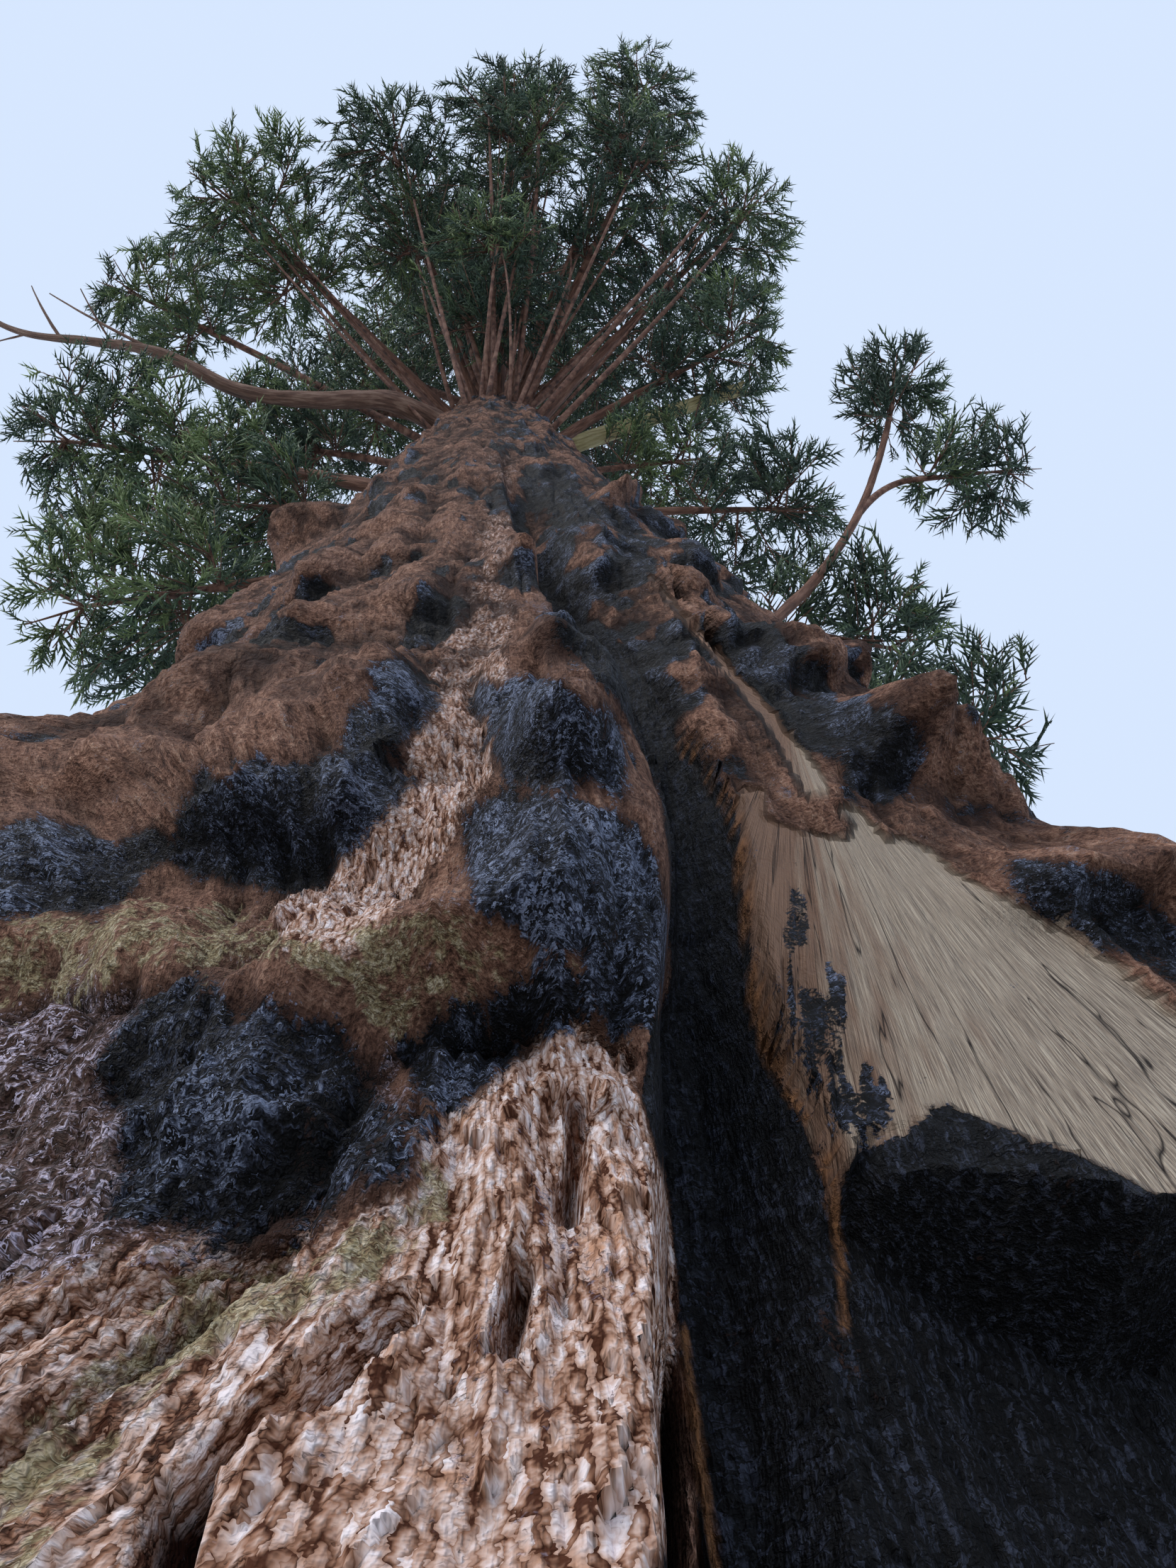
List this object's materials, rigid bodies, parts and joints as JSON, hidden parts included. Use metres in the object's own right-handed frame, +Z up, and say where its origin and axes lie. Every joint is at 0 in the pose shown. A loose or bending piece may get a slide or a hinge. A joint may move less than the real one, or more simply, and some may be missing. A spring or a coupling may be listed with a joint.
{
  "type": "giant sequoia tree",
  "caption": "Old giant sequoia with a fire-scarred, fluted trunk, root flare, live boughs with foliage masses, a long dead bough and a broken stub, cut flat at ground level",
  "frame": {"origin": "centre of the trunk's flat cut at ground level, on the mount ground", "axes": "+Z up the trunk; the burnt face looks to -Y, and +X is to the right of a viewer who looks at that face"},
  "size_m": [14.7183, 13.0376, 39.9845],
  "materials": {
    "bark": "rough fibrous cinnamon bark, charred black in the burn scar, with bare grey wood beside it",
    "bough_bark": "rough reddish brown bark",
    "bare_wood": "dry, pale, weathered wood",
    "foliage": "matt blue-green sprays of scale needles on reddish brown twigs"
  },
  "bodies": {
    "root": {"bough_back_1": "bough_bark", "bough_back_2": "bough_bark", "bough_back_3": "bough_bark", "bough_back_4": "bough_bark", "bough_back_5": "bough_bark", "bough_front_far": "bough_bark", "bough_front_left": "bough_bark", "bough_front_middle": "bough_bark", "bough_front_right": "bough_bark", "bough_left_high": "bough_bark", "bough_left_lower": "bough_bark", "bough_left_outer": "bough_bark", "bough_right_low": "bough_bark", "bough_right_lower": "bough_bark", "bough_right_lowest": "bough_bark", "bough_right_middle": "bough_bark", "bough_right_near": "bough_bark", "bough_right_sparse": "bough_bark", "broken_stub": "bare_wood", "dead_bough_inner": "bough_bark", "dead_bough_outer": "bough_bark", "foliage_back_1": "foliage", "foliage_back_2": "foliage", "foliage_back_3": "foliage", "foliage_back_4": "foliage", "foliage_back_5": "foliage", "foliage_front_far": "foliage", "foliage_front_high": "foliage", "foliage_front_inner": "foliage", "foliage_front_left": "foliage", "foliage_front_middle": "foliage", "foliage_front_right": "foliage", "foliage_left_far": "foliage", "foliage_left_high": "foliage", "foliage_left_inner": "foliage", "foliage_left_lower": "foliage", "foliage_left_near": "foliage", "foliage_left_outer": "foliage", "foliage_right_inner": "foliage", "foliage_right_low": "foliage", "foliage_right_lower": "foliage", "foliage_right_lowest": "foliage", "foliage_right_middle": "foliage", "foliage_right_near": "foliage", "foliage_right_side": "foliage", "foliage_right_sparse": "foliage", "foliage_tier_1_1": "foliage", "foliage_tier_1_2": "foliage", "foliage_tier_1_3": "foliage", "foliage_tier_1_4": "foliage", "foliage_tier_1_5": "foliage", "foliage_tier_2_1": "foliage", "foliage_tier_2_2": "foliage", "foliage_tier_2_3": "foliage", "foliage_tier_2_4": "foliage", "foliage_tier_3_1": "foliage", "foliage_tier_3_2": "foliage", "foliage_tier_3_3": "foliage", "foliage_top": "foliage", "trunk": "bark"}
  },
  "joints": []
}
